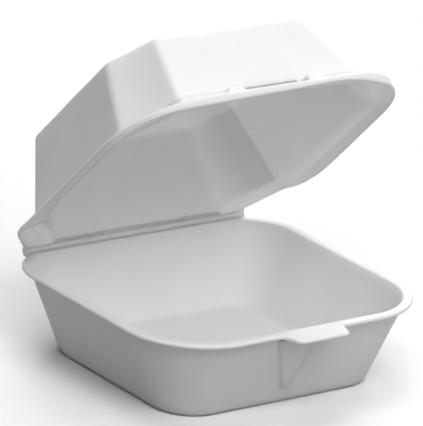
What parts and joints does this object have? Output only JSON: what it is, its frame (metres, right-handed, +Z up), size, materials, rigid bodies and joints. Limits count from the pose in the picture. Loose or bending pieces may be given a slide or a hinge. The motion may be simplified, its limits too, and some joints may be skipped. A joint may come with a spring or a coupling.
{
  "type": "foam clamshell container",
  "caption": "Square foam food container with a drafted tray, a faceted hinged lid, a front closing tab and the slot it goes through.",
  "frame": {"origin": "middle of the tray's underside, on the table", "axes": "+X to the right, +Y to the hinge at the back, +Z up; the tab faces -Y"},
  "size_m": [0.154, 0.1619, 0.156],
  "materials": {
    "tray_foam": "matte white polystyrene foam",
    "lid_foam": "matte white polystyrene foam"
  },
  "bodies": {
    "tray": {"tray": "tray_foam"},
    "lid": {"lid": "lid_foam"}
  },
  "joints": [
    {"name": "lid_hinge", "type": "hinge", "parent": "tray", "child": "lid", "pos_m": [0, 0.0662, 0.0413], "axis": [-1, 0, 0], "range_deg": [-43.5, 133.5]}
  ]
}
